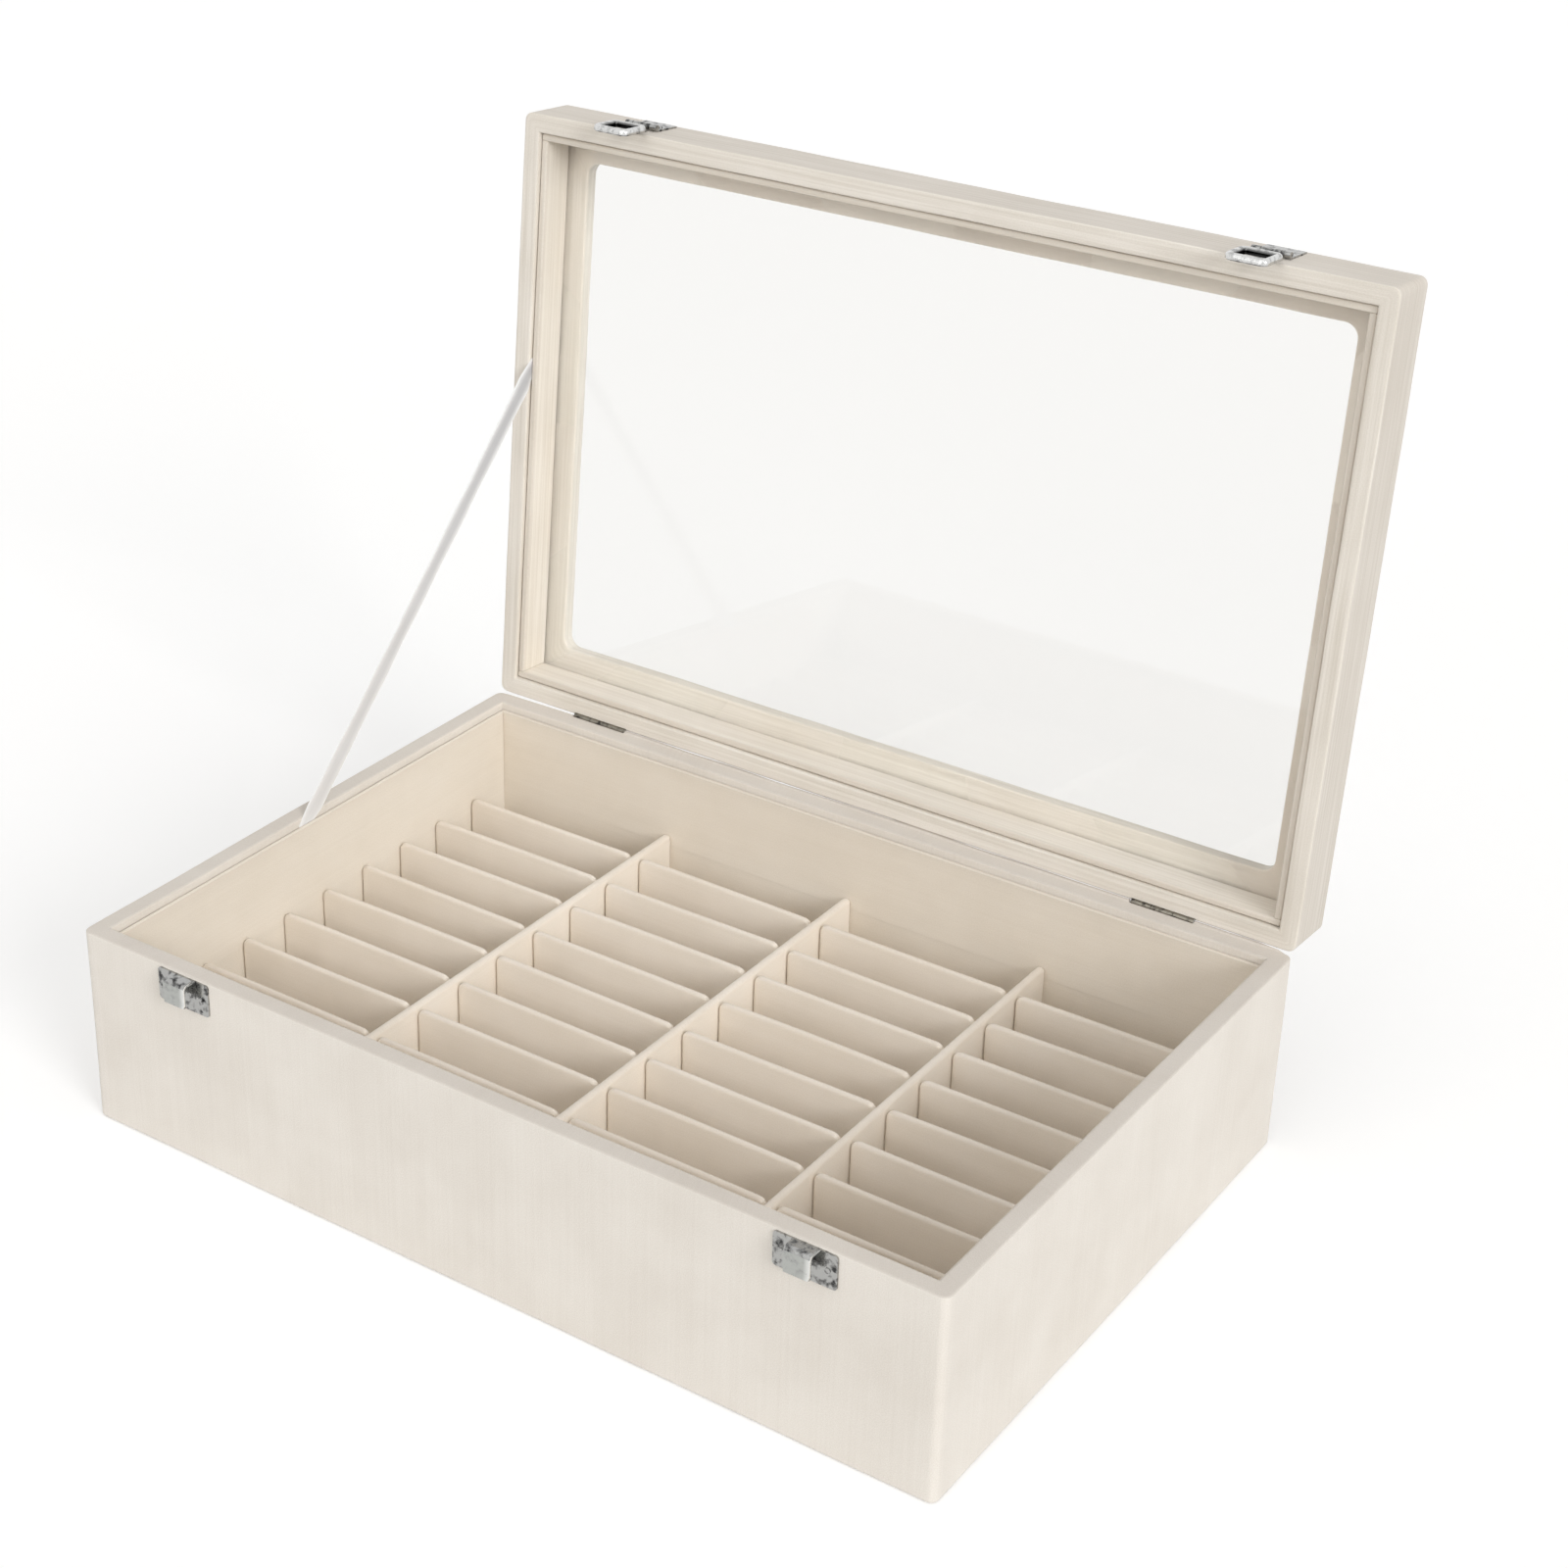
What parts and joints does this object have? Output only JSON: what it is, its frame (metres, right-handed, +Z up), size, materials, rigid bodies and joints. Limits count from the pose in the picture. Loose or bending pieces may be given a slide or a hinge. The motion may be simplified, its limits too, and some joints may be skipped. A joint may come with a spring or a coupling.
{
  "type": "bracelet organizer box",
  "caption": "Flat cloth-covered box for bracelets, with rows of upright slats in columns, a hinged lid with a glass window, two small metal latches and a stay ribbon.",
  "frame": {"origin": "centre of the flat underside of the base, which rests on the table", "axes": "+X to the right along the width when seen from the front, +Y to the back where the lid is hinged, +Z up"},
  "size_m": [0.35, 0.2859, 0.3163],
  "materials": {
    "outer_cloth": "short brushed pile",
    "lining_cloth": "short brushed pile",
    "divider_cloth": "short brushed pile",
    "board": "pressed wood fibre",
    "underside_sheet": "matt",
    "ribbon": "satin",
    "glass": "clear",
    "latch_metal": "polished"
  },
  "bodies": {
    "base": {"base_board_back": "board", "base_board_front": "board", "base_board_left": "board", "base_board_right": "board", "base_bottom_board": "board", "base_cloth_cover": "outer_cloth", "base_underside_sheet": "underside_sheet", "catch_left": "latch_metal", "catch_nails": "latch_metal", "catch_right": "latch_metal", "floor_pad_1": "lining_cloth", "floor_pad_2": "lining_cloth", "floor_pad_3": "lining_cloth", "floor_pad_4": "lining_cloth", "hinge_base_leaf_left": "latch_metal", "hinge_base_leaf_right": "latch_metal", "hinge_nails_base": "latch_metal", "hinge_pin_left": "latch_metal", "hinge_pin_right": "latch_metal", "liner_back": "lining_cloth", "liner_front": "lining_cloth", "liner_left": "lining_cloth", "liner_right": "lining_cloth", "long_divider_left": "divider_cloth", "long_divider_middle": "divider_cloth", "long_divider_right": "divider_cloth", "slats_column_1": "divider_cloth", "slats_column_2": "divider_cloth", "slats_column_3": "divider_cloth", "slats_column_4": "divider_cloth", "stay_ribbon": "ribbon"},
    "lid": {"glass_pane": "glass", "hasp_nails": "latch_metal", "hasp_pin_left": "latch_metal", "hasp_pin_right": "latch_metal", "hasp_plate_left": "latch_metal", "hasp_plate_right": "latch_metal", "hinge_lid_leaf_left": "latch_metal", "hinge_lid_leaf_right": "latch_metal", "hinge_nails_lid": "latch_metal", "lid_board_back": "board", "lid_board_front": "board", "lid_board_left": "board", "lid_board_right": "board", "lid_cloth_cover": "outer_cloth", "lid_liner_back": "lining_cloth", "lid_liner_front": "lining_cloth", "lid_liner_left": "lining_cloth", "lid_liner_right": "lining_cloth", "lid_window_board": "board"},
    "hasp_left": {"hasp_ring_left": "latch_metal"},
    "hasp_right": {"hasp_ring_right": "latch_metal"}
  },
  "joints": [
    {"name": "lid_hinge", "type": "hinge", "parent": "base", "child": "lid", "pos_m": [0, 0.1184, 0.07765], "axis": [1, 0, 0], "range_deg": [0, 95], "deforming": ["stay_ribbon"]},
    {"name": "hasp_left_swing", "type": "hinge", "parent": "lid", "child": "hasp_left", "pos_m": [-0.1265, 0.14726, 0.31398], "axis": [-1, 0, 0], "range_deg": [0, 120]},
    {"name": "hasp_right_swing", "type": "hinge", "parent": "lid", "child": "hasp_right", "pos_m": [0.1265, 0.14726, 0.31398], "axis": [-1, 0, 0], "range_deg": [0, 120]}
  ]
}
